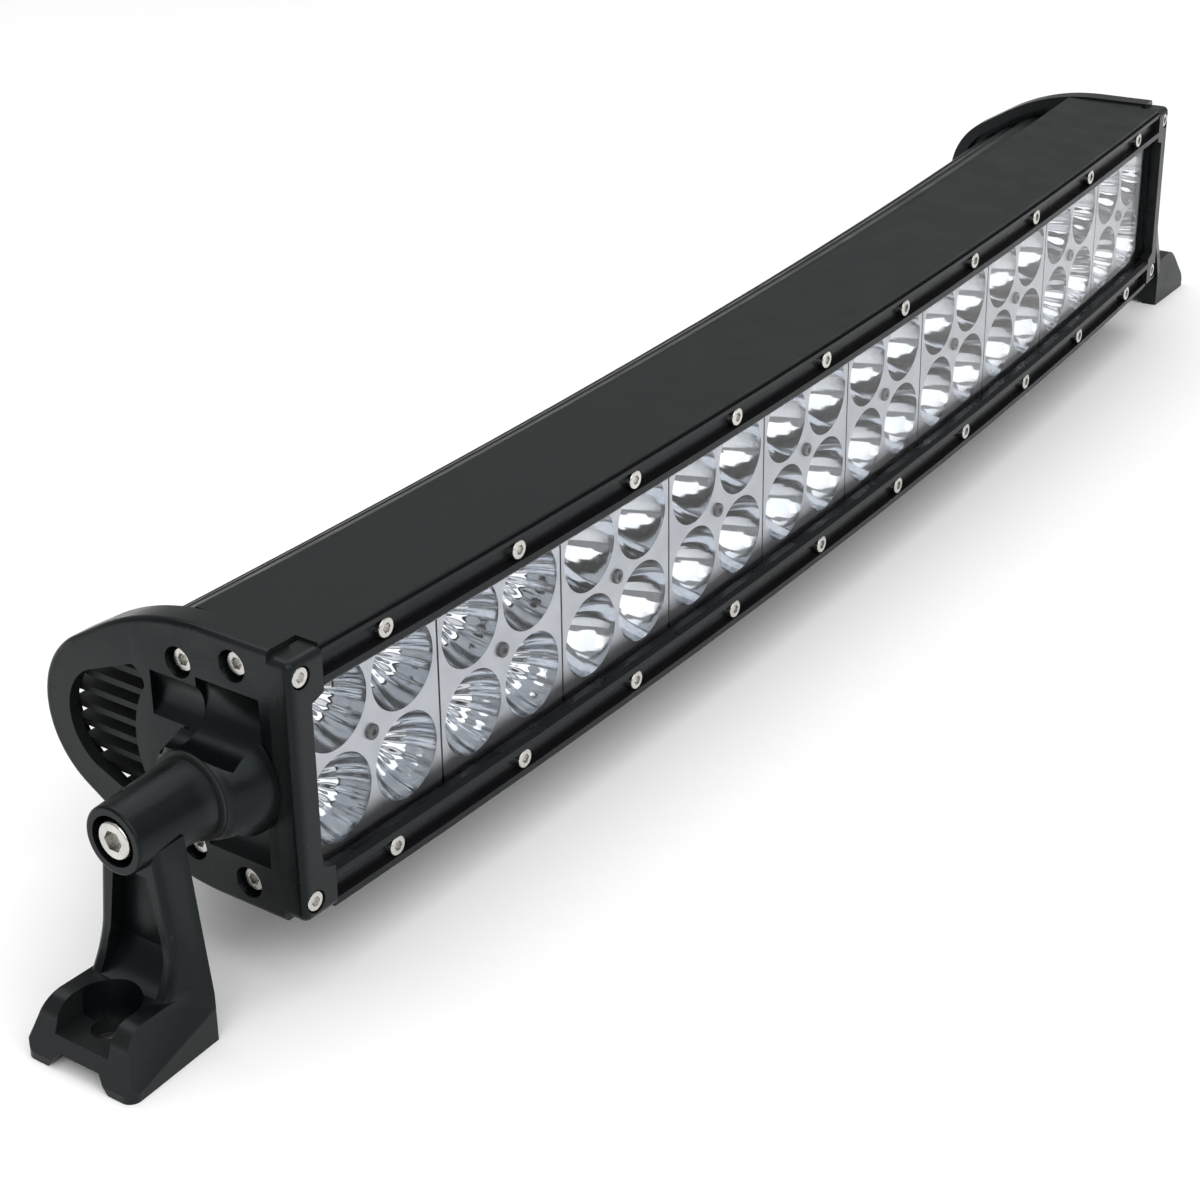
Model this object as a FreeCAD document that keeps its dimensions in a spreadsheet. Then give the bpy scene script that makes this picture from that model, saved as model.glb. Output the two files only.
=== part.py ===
"""Curved double-row LED light bar on two tilting end brackets.

Frame: millimetres, +Z up, the lamps look along -Y, +X runs along the bar. The origin is on the
surface that the two bracket feet stand on, under the middle of the whole part's box.

Two local frames are used. Pieces that follow the bend are revolved about the bend's own vertical
axis: there a point at depth b behind the bar's front stands at Y = b - bend_radius. Pieces at an end
are built with X pointing out of that end, Y pointing back and Z up.
"""
import FreeCAD, Part
import math
import os
import Sketcher

os.makedirs("parts", exist_ok=True)

DOC = FreeCAD.newDocument("led_light_bar")
SHEET = DOC.addObject("Spreadsheet::Sheet", "Sizes")
X_AXIS = FreeCAD.Vector(1, 0, 0)
Y_AXIS = FreeCAD.Vector(0, 1, 0)
Z_AXIS = FreeCAD.Vector(0, 0, 1)
MODULES = 10
FLOOD_MODULES = (1, 2, 9, 10)
FINS = 13
DEGREES_PER_RADIAN = 180 / math.pi
SIDES = (("left", -1), ("right", 1))
NODES = []

# Screws, in mm. The cap's screws stand at these depths and heights from the middle plane.
THREAD_RADIUS = 1.5
THREAD_DEPTH = 10.0
LAMP_SCREW_RADIUS = 1.25
CAP_SCREW_RADIUS = 1.6
CAP_SCREW_LENGTH = 10.0
CAP_SCREWS = ((18.5, 29.8), (36.5, 25.4))
CAP_SINK = 5.4
CAP_SINK_RADIUS = 4.2
PILLAR_SCREW_SEAT = 1.9
PILLAR_SCREW_LENGTH = 10.5
BOLT_THREAD = 11.0

# Hollows in the end cap: name, front depth, back depth, height of the middle, how deep it is cut.
SCOOP_RADIUS = 9.0
SCOOPS = (("front_scoop", 10.5, 31.0, 16.5, 3.0), ("back_scoop", 31.0, 46.5, 14.5, 2.4))

# Back bosses, and the driver: rounds are x, z, radius, height and blocks x, z, width, height, depth.
BOSS_HEIGHT = 8.0
GLAND_BORE = 3.5
GLAND_STATION = 0
VENT_STATION = 1.5
DRIVER_ROUNDS = ((-60, 0, 5.0, 9.5), (-46, 0, 5.0, 9.5), (50, 0, 7.0, 8.0))
DRIVER_BLOCKS = ((0, 6, 16, 10, 8.5), (22, -6, 12, 8, 5.0), (-22, -4, 14, 9, 6.0), (70, 2, 10, 16, 5.5))
DRIVER_HALF = (90, 16)
LEAD_STATIONS = (-79.5, 79.5)
LEAD_HEIGHT = 8
SPACER_SPOTS = ((-84, -12), (-84, 12), (84, -12), (84, 12))
SPACER_LENGTH = 3.25

# Driving dimensions in mm: one spreadsheet cell each, with the name as its alias.
DRIVING = {
    # the bend and the row of lamps
    "bend_radius": 4000.0,
    "module_pitch": 53.0,
    "end_station": 269.5,
    "pivot_height": 56.0,
    # the section of the housing
    "housing_half": 36.3,
    "lip_depth": 1.2,
    "lip_half": 34.9,
    "flange_depth": 8.2,
    "bay_half": 27.8,
    "web_depth": 24.0,
    "web_thick": 4.0,
    "plate_depth": 38.0,
    "plate_thick": 2.2,
    "shoulder_depth": 30.0,
    "rear_bay_depth": 44.0,
    "rear_bay_half": 20.0,
    "fin_root": 48.0,
    "fin_reach": 84.0,
    "fin_pitch": 5.0,
    "fin_thick": 1.8,
    "fin_inset": 6.0,
    "housing_gap": 4.8,
    # the end caps
    "cap_half": 37.1,
    "cap_front": 7.0,
    "cap_flat": 28.0,
    "cap_depth": 86.0,
    "cap_bow": 70.0,
    "cap_bow_turn": 31.0,
    "cap_reach": 4.0,
    "cap_edge": 1.6,
    "cap_skin": 3.3,
    "cap_rim": 4.0,
    "window_depth": 48.8,
    "window_margin": 9.0,
    "pivot_depth": 22.0,
    "boss_reach": 17.0,
    "boss_foot_radius": 14.6,
    "boss_dome_radius": 16.6,
    "boss_radius": 13.2,
    "boss_bow": 20.4,
    # the front: strips, pillars, lens and gasket
    "strip_end": 7.4,
    "opening_half": 24.5,
    "screw_row": 30.6,
    "groove_half": 2.9,
    "groove_depth": 2.5,
    "lens_front": 3.6,
    "lens_thick": 3.0,
    "lens_half": 28.7,
    "lens_end": 1.5,
    "pillar_half": 35.5,
    "pillar_inner": 3.0,
    # the lamps
    "reflector_depth": 8.3,
    "reflector_half": 27.4,
    "reflector_gap": 0.8,
    "board_thick": 1.6,
    "cup_spacing": 25.6,
    "cup_radius": 11.9,
    "cup_depth": 12.4,
    "lamp_hole": 3.2,
    # the brackets
    "barrel_root": 18.0,
    "barrel_end": 42.6,
    "barrel_root_radius": 10.4,
    "barrel_end_radius": 8.9,
    "bolt_radius": 3.0,
    "bolt_head_radius": 5.0,
    "bolt_head_seat": 35.8,
    "bolt_clearance": 0.08,
    "recess_radius": 6.6,
    "washer_thick": 0.9,
    "arm_inner": 30.0,
    "arm_outer": 38.5,
    "arm_top_half": 10.2,
    "arm_half": 15.6,
    "arm_shoulder": 43.0,
    "arm_draft": 11.0,
    "arm_sweep": 4.5,
    "sweep_rise": 14.0,
    "arm_recess": 4.5,
    "recess_top_half": 5.4,
    "recess_low_half": 9.2,
    "ramp_rise": 8.0,
    "ramp_radius": 13.0,
    "foot_outer": 61.0,
    "foot_half": 18.0,
    "foot_rise": 16.0,
    "foot_lean": 3.2,
    "foot_round": 6.2,
    "foot_round_drop": 5.0,
    "crest_half": 13.3,
    "foot_hole": 50.0,
    "foot_hole_radius": 4.2,
    "pocket_radius": 8.8,
    "pocket_floor": 8.4,
    "channel_rise": 4.4,
    "channel_half": 6.6,
}


class Size:
    """A length or an angle, held as its value and as the spreadsheet expression that gives it."""

    def __init__(self, value, text):
        self.value = value
        self.text = text

    def join(self, other, sign, value):
        return Size(value, "(" + self.text + sign + size(other).text + ")")

    def __add__(self, other):
        return self.join(other, " + ", self.value + size(other).value)

    def __sub__(self, other):
        return self.join(other, " - ", self.value - size(other).value)

    def __mul__(self, other):
        return self.join(other, " * ", self.value * size(other).value)

    def __truediv__(self, other):
        return self.join(other, " / ", self.value / size(other).value)

    def __radd__(self, other):
        return size(other) + self

    def __rsub__(self, other):
        return size(other) - self

    def __rmul__(self, other):
        return size(other) * self

    def __neg__(self):
        return size(0) - self


def size(value):
    if isinstance(value, Size):
        return value
    return Size(float(value), "(" + repr(float(value)) + ")")


def sine(angle):
    return Size(math.sin(math.radians(angle.value)), "sin(" + angle.text + ")")


def cosine(angle):
    return Size(math.cos(math.radians(angle.value)), "cos(" + angle.text + ")")


def root(area):
    return Size(math.sqrt(area.value), "sqrt(" + area.text + ")")


def write_sheet():
    """Write each driving dimension as plain text beside its name, and give the cell that name."""
    for row, (name, value) in enumerate(DRIVING.items(), start=1):
        SHEET.set("A" + str(row), name)
        SHEET.set("B" + str(row), str(value))
        SHEET.setAlias("B" + str(row), name)
    DOC.recompute()


def cell(name):
    return Size(DRIVING[name], "Sizes." + name)


def bind(item, prop, value):
    """Give a property its value and tie it to the sheet."""
    item.setExpression(prop, size(value).text)


def place(item, x, y, z, rotation=None):
    """Stand a sub-part at (x, y, z) with a rotation, its position tied to the sheet."""
    spot = FreeCAD.Vector(size(x).value, size(y).value, size(z).value)
    item.Placement = FreeCAD.Placement(spot, rotation or FreeCAD.Rotation())
    for axis, value in (("x", x), ("y", y), ("z", z)):
        item.setExpression("Placement.Base." + axis, size(value).text)


def new_body(label):
    body = DOC.addObject("PartDesign::Body", label)
    body.Label = label
    return body


def origin_feature(body, role):
    return next(item for item in body.Origin.OriginFeatures if item.Role == role)


def new_sketch(body, name, plane, height=0, angle=0):
    """A sketch on one of the body's origin planes, turned about the plane's own upright by angle
    degrees and then lifted by height along its normal."""
    sketch = body.newObject("Sketcher::SketchObject", name)
    sketch.AttachmentSupport = [(origin_feature(body, plane), "")]
    sketch.MapMode = "FlatFace"
    height = size(height)
    angle = size(angle)
    turn = FreeCAD.Rotation(Y_AXIS, angle.value)
    sketch.AttachmentOffset = FreeCAD.Placement(turn.multVec(Z_AXIS * height.value), turn)
    bind(sketch, "AttachmentOffset.Base.x", height * sine(angle))
    bind(sketch, "AttachmentOffset.Base.z", height * cosine(angle))
    return sketch


def pin_along(sketch, geometry, end, direction, value):
    """Fix one point of a sketch along X or Y, tied to the sheet."""
    kind, axis = {"X": ("DistanceX", -2), "Y": ("DistanceY", -1)}[direction]
    if abs(value.value) < 1e-9:
        sketch.addConstraint(Sketcher.Constraint("PointOnObject", geometry, end, axis))
        return
    index = sketch.addConstraint(Sketcher.Constraint(kind, -1, 1, geometry, end, value.value))
    sketch.setExpression("Constraints[" + str(index) + "]", value.text)


def pin_point(sketch, geometry, end, x, y):
    pin_along(sketch, geometry, end, "X", size(x))
    pin_along(sketch, geometry, end, "Y", size(y))


def pin_arc(sketch, geometry, start, stop, radius):
    """Fix an arc whose ends are already fixed: by its radius, or by its centre if it is a half circle."""
    chord = vector(stop) - vector(start)
    if abs(chord.Length - 2 * radius.value) > 1e-6:
        datum = sketch.addConstraint(Sketcher.Constraint("Radius", geometry, radius.value))
        sketch.setExpression("Constraints[" + str(datum) + "]", radius.text)
    elif abs(chord.y) > abs(chord.x):
        pin_along(sketch, geometry, 3, "X", (size(start[0]) + stop[0]) / 2)
    else:
        pin_along(sketch, geometry, 3, "Y", (size(start[1]) + stop[1]) / 2)


def vector(point):
    return FreeCAD.Vector(size(point[0]).value, size(point[1]).value, 0)


def arc_centre(start, stop, radius, left):
    """The centre of the arc of this radius from start to stop, on the left or the right of the chord."""
    middle = (start + stop) * 0.5
    half = (stop - start).Length / 2
    rise = math.sqrt(max(radius * radius - half * half, 0.0))
    normal = FreeCAD.Vector(-(stop - start).y, (stop - start).x, 0).normalize()
    return middle + normal * (rise if left else -rise)


def add_outline(sketch, points, arcs=None):
    """A closed outline through points. arcs says which edges are arcs: edge number -> (radius, turn),
    where turn is 'left' or 'right' for the way the outline turns along the arc."""
    arcs = arcs or {}
    count = len(points)
    first = sketch.GeometryCount
    starts = []
    for index in range(count):
        start = vector(points[index])
        stop = vector(points[(index + 1) % count])
        if index not in arcs:
            sketch.addGeometry(Part.LineSegment(start, stop), False)
            starts.append((1, 2))
            continue
        radius, turn = arcs[index]
        centre = arc_centre(start, stop, size(radius).value, turn == "left")
        ends = (start, stop) if turn == "left" else (stop, start)
        angles = [math.atan2(end.y - centre.y, end.x - centre.x) for end in ends]
        circle = Part.Circle(centre, Z_AXIS, size(radius).value)
        sketch.addGeometry(Part.ArcOfCircle(circle, angles[0], angles[1]), False)
        starts.append((1, 2) if turn == "left" else (2, 1))
    for index in range(count):
        following = (index + 1) % count
        ends = (first + index, starts[index][1], first + following, starts[following][0])
        sketch.addConstraint(Sketcher.Constraint("Coincident", *ends))
        pin_point(sketch, first + index, starts[index][0], *points[index])
    for index, (radius, turn) in arcs.items():
        pin_arc(sketch, first + index, points[index], points[(index + 1) % count], size(radius))


def add_circle(sketch, x, y, radius):
    centre = FreeCAD.Vector(size(x).value, size(y).value, 0)
    index = sketch.addGeometry(Part.Circle(centre, Z_AXIS, size(radius).value), False)
    pin_point(sketch, index, 3, x, y)
    datum = sketch.addConstraint(Sketcher.Constraint("Radius", index, size(radius).value))
    sketch.setExpression("Constraints[" + str(datum) + "]", size(radius).text)


def rectangle(low_x, low_y, high_x, high_y):
    return [(low_x, low_y), (high_x, low_y), (high_x, high_y), (low_x, high_y)]


def hexagon(x, y, flats):
    """The corners of a hexagon with this size across its flats."""
    reach = size(flats) / math.sqrt(3)
    turns = [math.radians(60 * corner) for corner in range(6)]
    return [(x + reach * math.cos(turn), y + reach * math.sin(turn)) for turn in turns]


def finish_feature(body, feature):
    body.Tip = feature
    DOC.recompute()
    return feature


def pad(body, sketch, length, reverse=False):
    feature = body.newObject("PartDesign::Pad", sketch.Name + "_pad")
    feature.Profile = sketch
    feature.Reversed = reverse
    bind(feature, "Length", length)
    return finish_feature(body, feature)


def pocket(body, sketch, length, reverse=False):
    """Cut a sketch's outline away. The volume must fall, or the cut went the wrong way."""
    before = body.Shape.Volume
    feature = body.newObject("PartDesign::Pocket", sketch.Name + "_cut")
    feature.Profile = sketch
    feature.Reversed = reverse
    bind(feature, "Length", length)
    finish_feature(body, feature)
    if body.Shape.Volume >= before:
        raise RuntimeError(body.Label + ": " + feature.Name + " cuts nothing")
    return feature


def turned(body, sketch, kind, axis, angle=360, midplane=False):
    """A Revolution or a Groove of the sketch about one of the body's own axes."""
    before = body.Shape.Volume if kind == "Groove" else 0
    feature = body.newObject("PartDesign::" + kind, sketch.Name + "_turned")
    feature.Profile = sketch
    feature.ReferenceAxis = axis
    feature.Midplane = midplane
    bind(feature, "Angle", angle)
    finish_feature(body, feature)
    if kind == "Groove" and body.Shape.Volume >= before:
        raise RuntimeError(body.Label + ": " + feature.Name + " cuts nothing")
    return feature


def bar_pattern(body, feature, count, step):
    """Repeat a feature along the bend: count times, step degrees apart."""
    before = body.Shape.Volume
    pattern = body.newObject("PartDesign::PolarPattern", feature.Name + "_row")
    pattern.Originals = [feature]
    pattern.Axis = (origin_feature(body, "Z_Axis"), [""])
    bind(pattern, "Angle", step * (count - 1))
    pattern.Occurrences = count
    finish_feature(body, pattern)
    if abs(body.Shape.Volume - before) < 1e-6:
        raise RuntimeError(body.Label + ": " + pattern.Name + " repeats nothing")
    return pattern


def round_edges(body, feature, radius, chosen):
    """Fillet the edges of a feature that chosen(edge) picks."""
    names = ["Edge" + str(number) for number, edge in enumerate(feature.Shape.Edges, start=1)
             if chosen(edge)]
    if not names:
        raise RuntimeError(body.Label + ": no edge to round")
    fillet = body.newObject("PartDesign::Fillet", feature.Name + "_round")
    fillet.Base = (feature, names)
    bind(fillet, "Radius", radius)
    return finish_feature(body, fillet)


def keep(item):
    """List a finished sub-part as a node of the object."""
    NODES.append(item)
    return item


def keep_group(label, master, placements):
    """Identical pieces as one node of separate solids: copies of a master piece at placements."""
    shape = master.Shape.copy()
    shape.Placement = FreeCAD.Placement()
    copies = []
    for placement in placements:
        copied = shape.copy()
        copied.Placement = placement.multiply(master.Shape.Placement)
        copies.append(copied)
    feature = DOC.addObject("Part::Feature", label)
    feature.Label = label
    feature.Shape = Part.makeCompound(copies)
    feature.Placement = FreeCAD.Placement()
    return keep(feature)


write_sheet()

# Derived places, all worked out from the cells.
BEND = cell("bend_radius")
END_ANGLE = cell("end_station") / BEND * DEGREES_PER_RADIAN
STEP_ANGLE = cell("module_pitch") / BEND * DEGREES_PER_RADIAN
FIRST_ANGLE = STEP_ANGLE * (-(MODULES - 1) / 2)
SAGITTA = BEND - BEND * cosine(END_ANGLE)
REAR_CORNER = (cell("cap_depth") - cell("cap_edge")) * cosine(END_ANGLE) + cell("cap_edge")
DEPTH_OVER_ALL = SAGITTA + REAR_CORNER + (cell("cap_reach") - cell("cap_edge")) * sine(END_ANGLE)
FRONT_Y = DEPTH_OVER_ALL * -0.5
BEND_Y = FRONT_Y + BEND
PIVOT_Z = cell("pivot_height")


def arc_angle(length):
    """The angle in degrees that a length along the front covers at the bend's centre."""
    return length / BEND * DEGREES_PER_RADIAN


def bent(points):
    """Section points (depth b, height) moved to the bend's own frame."""
    return [(b - BEND, height) for b, height in points]


def mirrored(points):
    """The same section below the middle plane, taken the other way round."""
    return [(b, -height) for b, height in reversed(points)]


def place_bent(body):
    place(body, 0, BEND_Y, PIVOT_Z)


def end_placement(side, depth, turn_axis):
    """The frame at an end of the bar: X out of the end, Y back, at this depth on the middle plane.
    The left end uses the right end's piece turned half way round turn_axis."""
    turn = FreeCAD.Rotation(Z_AXIS, side * END_ANGLE.value)
    if side < 0:
        turn = turn.multiply(FreeCAD.Rotation(turn_axis, 180))
    x = side * (BEND - depth) * sine(END_ANGLE)
    y = BEND_Y - (BEND - depth) * cosine(END_ANGLE)
    return x, y, PIVOT_Z, turn


def end_frame(side, depth, turn_axis=Y_AXIS):
    x, y, z, turn = end_placement(side, size(depth), turn_axis)
    return FreeCAD.Placement(FreeCAD.Vector(x.value, y.value, z.value), turn)


def station_frame(station, depth, height=0.0):
    """The frame at a module's middle: X along the bar, Y back, at this depth and height."""
    angle = STEP_ANGLE.value * station
    reach = BEND.value - depth
    spot = FreeCAD.Vector(reach * math.sin(math.radians(angle)),
                          BEND_Y.value - reach * math.cos(math.radians(angle)),
                          PIVOT_Z.value + height)
    return FreeCAD.Placement(spot, FreeCAD.Rotation(Z_AXIS, angle))


def stations():
    return [number - (MODULES - 1) / 2 for number in range(MODULES)]


# --- the housing -------------------------------------------------------------------------------------

def cap_outline(inset):
    """The D-shaped outline of an end, a distance inside the cap's own: the corner points of its upper
    half from the front to the back, and the radii of its two bows."""
    turn = cell("cap_bow_turn")
    top = cell("cap_half") - inset
    bow = cell("cap_bow") - inset
    bow_x = cell("cap_flat") + bow * sine(turn)
    bow_z = top - bow + bow * cosine(turn)
    slope = math.tan(math.radians(turn.value))
    reach = cell("cap_depth") - inset
    nose = (bow_z - (reach - bow_x) * slope) / (cosine(turn) - (1 - sine(turn)) * slope)
    nose_x = reach - nose * (1 - sine(turn))
    nose_z = nose * cosine(turn)
    points = [(cell("cap_flat"), top), (bow_x, bow_z), (nose_x, nose_z)]
    return points, bow, nose


def housing_section():
    """The extrusion's section: an open bay for the lamps in front, and fins behind."""
    half = cell("housing_half")
    plate_under = half - cell("plate_thick")
    rib = cell("fin_thick") / 2
    upper = [
        (cell("web_depth"), cell("bay_half")),
        (cell("flange_depth"), cell("bay_half")),
        (cell("flange_depth"), half),
        (cell("plate_depth"), half),
        (cell("plate_depth"), plate_under),
        (cell("shoulder_depth"), plate_under),
    ]
    last = (FINS - 1) // 2
    comb = [(cell("shoulder_depth"), cell("fin_pitch") * last + rib)]
    for number in range(last, -last - 1, -1):
        middle = cell("fin_pitch") * number
        comb.append((cell("fin_reach"), middle + rib))
        comb.append((cell("fin_reach"), middle - rib))
        if number > -last:
            comb.append((cell("fin_root"), middle - rib))
            comb.append((cell("fin_root"), middle - cell("fin_pitch") + rib))
    comb.append((cell("shoulder_depth"), -(cell("fin_pitch") * last + rib)))
    return upper + comb + mirrored(upper)


def rear_outline(start, inset):
    """The D-shaped outline from the depth start backwards, a distance inside the cap's own, from its
    upper front corner round to its lower one, with its arcs."""
    points, bow, nose = cap_outline(inset)
    run = start - cell("cap_flat")
    line = [(start, points[0][1] - bow + root(bow * bow - run * run))] + points[1:]
    lower = [(b, -height) for b, height in reversed(line)]
    return line + lower, {0: (bow, "right"), 2: (nose, "right"), 4: (bow, "right")}


def fin_trim_outline():
    """What is cut away behind the D-shaped line that the fin tips follow."""
    start = cell("plate_depth") + 1
    line, arcs = rear_outline(start, cell("fin_inset"))
    beyond = cell("fin_reach") + 4
    above = cell("housing_half") + 2
    return line + [(start, -above), (beyond, -above), (beyond, above), (start, above)], arcs


def make_housing():
    body = new_body("housing")
    angle = arc_angle(cell("end_station")) * 2
    section = new_sketch(body, "housing_section", "YZ_Plane")
    add_outline(section, bent(housing_section()))
    rear = rectangle(cell("web_depth") + cell("web_thick"), -cell("rear_bay_half"),
                     cell("rear_bay_depth"), cell("rear_bay_half"))
    add_outline(section, bent(rear))
    turned(body, section, "Revolution", (section, ["V_Axis"]), angle, True)
    trim = new_sketch(body, "housing_trim", "YZ_Plane")
    outline, arcs = fin_trim_outline()
    add_outline(trim, bent(outline), arcs)
    turned(body, trim, "Groove", (trim, ["V_Axis"]), angle + 1, True)
    cut_back_ends(body)
    add_lips(body)
    cut_strip_threads(body)
    cut_lamp_threads(body)
    cut_lead_holes(body)
    cut_end_threads(body)
    add_back_boss(body, "gland", GLAND_STATION, 13.5, 10.5, 6.05)
    add_back_boss(body, "vent", VENT_STATION, 9.5, 6.5, 3.05)
    place_bent(body)
    return keep(body)


def end_sketch(body, name, side):
    """A sketch across one end of the bar, square to the end's own direction."""
    sketch = body.newObject("Sketcher::SketchObject", name)
    sketch.AttachmentSupport = [(origin_feature(body, "YZ_Plane"), "")]
    sketch.MapMode = "FlatFace"
    turn = FreeCAD.Rotation(Y_AXIS, side * END_ANGLE.value)
    sketch.AttachmentOffset = FreeCAD.Placement(FreeCAD.Vector(), turn)
    return sketch


def cut_back_ends(body):
    """Room for the caps' gaskets and screws: the fins alone run on into the caps."""
    half = cell("housing_half") + 1
    for name, side in SIDES:
        cut = end_sketch(body, name + "_end_cut", side)
        add_outline(cut, bent(rectangle(size(-1), -half, cell("fin_root") - 0.5, half)))
        pocket(body, cut, cell("housing_gap") + 0.1, side < 0)


def add_lips(body):
    """The thin lips along the top and bottom front edges that the strips sit between."""
    angle = arc_angle(cell("end_station") - cell("strip_end") - 0.1) * 2
    for name, sign in (("top", 1), ("bottom", -1)):
        lip = new_sketch(body, "lip_" + name, "YZ_Plane")
        corners = rectangle(cell("lip_depth"), sign * cell("lip_half"),
                            cell("flange_depth") + 1, sign * cell("housing_half"))
        add_outline(lip, bent(corners))
        turned(body, lip, "Revolution", (lip, ["V_Axis"]), angle, True)


def cut_strip_threads(body):
    start = BEND - cell("flange_depth")
    threads = new_sketch(body, "strip_threads", "XZ_Plane", start, FIRST_ANGLE)
    for sign in (1, -1):
        add_circle(threads, 0, sign * cell("screw_row"), THREAD_RADIUS)
    cut = pocket(body, threads, THREAD_DEPTH)
    bar_pattern(body, cut, MODULES, STEP_ANGLE)


def cut_lamp_threads(body):
    start = BEND - cell("web_depth")
    threads = new_sketch(body, "lamp_threads", "XZ_Plane", start, FIRST_ANGLE)
    add_circle(threads, 0, 0, LAMP_SCREW_RADIUS)
    cut = pocket(body, threads, cell("web_thick"))
    bar_pattern(body, cut, MODULES, STEP_ANGLE)


def cut_lead_holes(body):
    """Two holes through the web that let the driver's leads reach the lamp boards."""
    for name, side in SIDES:
        start = BEND - cell("web_depth")
        hole = new_sketch(body, name + "_lead_hole", "XZ_Plane", start, STEP_ANGLE * (1.5 * side))
        add_circle(hole, 0, LEAD_HEIGHT, 1.4)
        pocket(body, hole, cell("web_thick") + 1)


def cut_end_threads(body):
    """Four blind threads in each end, for the end cap's screws."""
    for name, side in SIDES:
        threads = end_sketch(body, name + "_end_threads", side)
        for depth, height in CAP_SCREWS:
            for sign in (1, -1):
                add_circle(threads, depth - BEND, sign * height, CAP_SCREW_RADIUS)
        pocket(body, threads, cell("housing_gap") + CAP_SCREW_LENGTH, side < 0)


def add_back_boss(body, name, station, clear_radius, radius, bore_radius):
    """A round boss on the back wall, standing in a gap cut through the fins, with a bore into the bay."""
    angle = STEP_ANGLE * station
    root = BEND - cell("fin_root")
    gap = new_sketch(body, name + "_gap", "XZ_Plane", root, angle)
    add_circle(gap, 0, 0, clear_radius)
    pocket(body, gap, cell("fin_reach") - cell("fin_root") + 5)
    boss = new_sketch(body, name + "_boss", "XZ_Plane", root + 1, angle)
    add_circle(boss, 0, 0, radius)
    pad(body, boss, BOSS_HEIGHT + 1, True)
    bore = new_sketch(body, name + "_bore", "XZ_Plane", BEND - cell("rear_bay_depth") + 1, angle)
    add_circle(bore, 0, 0, bore_radius)
    pocket(body, bore, BOSS_HEIGHT + 8)


# --- the front: strips, lens and gasket --------------------------------------------------------------

def strip_section():
    """The upper strip: a lip, the groove for the screws, a ridge and the bevel to the lens."""
    row = cell("screw_row")
    outer = cell("lip_half") - 0.1
    rebate = cell("lens_half") + 0.2
    groove = cell("groove_half")
    return [
        (0.3, outer),
        (0.3, row + groove),
        (cell("groove_depth"), row + groove - 0.2),
        (cell("groove_depth"), row - groove + 0.2),
        (0, row - groove),
        (0, cell("opening_half") + 1.2),
        (1.2, cell("opening_half")),
        (cell("lens_front") - 0.1, cell("opening_half")),
        (cell("lens_front") - 0.1, rebate),
        (cell("flange_depth"), rebate),
        (cell("flange_depth"), outer),
    ]


def make_strip(label, sign):
    body = new_body(label)
    angle = arc_angle(cell("end_station") - cell("strip_end") - 0.1) * 2
    section = new_sketch(body, label + "_section", "YZ_Plane")
    add_outline(section, bent([(b, sign * height) for b, height in strip_section()]))
    turned(body, section, "Revolution", (section, ["V_Axis"]), angle, True)
    holes = new_sketch(body, label + "_holes", "XZ_Plane", BEND, FIRST_ANGLE)
    add_circle(holes, 0, sign * cell("screw_row"), THREAD_RADIUS)
    cut = pocket(body, holes, cell("flange_depth") + 1)
    bar_pattern(body, cut, MODULES, STEP_ANGLE)
    place_bent(body)
    return keep(body)


def make_lens():
    body = new_body("lens")
    section = new_sketch(body, "lens_section", "YZ_Plane")
    back = cell("lens_front") + cell("lens_thick")
    add_outline(section, bent(rectangle(cell("lens_front"), -cell("lens_half"), back, cell("lens_half"))))
    angle = arc_angle(cell("end_station") - cell("lens_end")) * 2
    turned(body, section, "Revolution", (section, ["V_Axis"]), angle, True)
    place_bent(body)
    return keep(body)


def make_lens_gasket():
    """A rubber frame between the lens and the housing."""
    body = new_body("lens_gasket")
    front = cell("lens_front") + cell("lens_thick")
    outer = new_sketch(body, "gasket_section", "YZ_Plane")
    corners = rectangle(front, -cell("lens_half"), cell("flange_depth"), cell("lens_half"))
    add_outline(outer, bent(corners))
    length = cell("end_station") - cell("lens_end") - 0.1
    turned(body, outer, "Revolution", (outer, ["V_Axis"]), arc_angle(length) * 2, True)
    inner = new_sketch(body, "gasket_opening", "YZ_Plane")
    half = cell("bay_half") - 0.2
    add_outline(inner, bent(rectangle(front - 1, -half, cell("flange_depth") + 1, half)))
    turned(body, inner, "Groove", (inner, ["V_Axis"]), arc_angle(length - 2.2) * 2, True)
    place_bent(body)
    return keep(body)


# --- the lamps ---------------------------------------------------------------------------------------

def make_reflector(number, station):
    """One moulded module with four cups. Its front face is Y = 0 in its own frame."""
    label = "reflector_" + str(number).zfill(2)
    body = new_body(label)
    half_width = (cell("module_pitch") - cell("reflector_gap")) / 2
    face = new_sketch(body, label + "_face", "XZ_Plane")
    add_outline(face, rectangle(-half_width, -cell("reflector_half"), half_width, cell("reflector_half")))
    add_circle(face, 0, 0, LAMP_SCREW_RADIUS + 0.15)
    pad(body, face, reflector_length(), True)
    spread = cell("cup_spacing") / 2
    bow = 16.0 if number in FLOOD_MODULES else 21.0
    for place_x in (-1, 1):
        for place_z in (-1, 1):
            name = label + "_cup_" + ("l" if place_x < 0 else "r") + ("d" if place_z < 0 else "u")
            cup = new_sketch(body, name, "XY_Plane", spread * place_z)
            axis_x = spread * place_x
            points = [(axis_x, 0), (axis_x + cell("cup_radius"), 0),
                      (axis_x + cell("lamp_hole"), cell("cup_depth")),
                      (axis_x + cell("lamp_hole"), reflector_length()), (axis_x, reflector_length())]
            add_outline(cup, points, {1: (bow, "left")})
            axis = sketch_axis(cup, points[0], points[-1])
            turned(body, cup, "Groove", (cup, [axis]))
    body.Placement = station_frame(station, cell("reflector_depth").value)
    return keep(body)


def reflector_length():
    return cell("web_depth") - cell("board_thick") - cell("reflector_depth")


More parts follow.
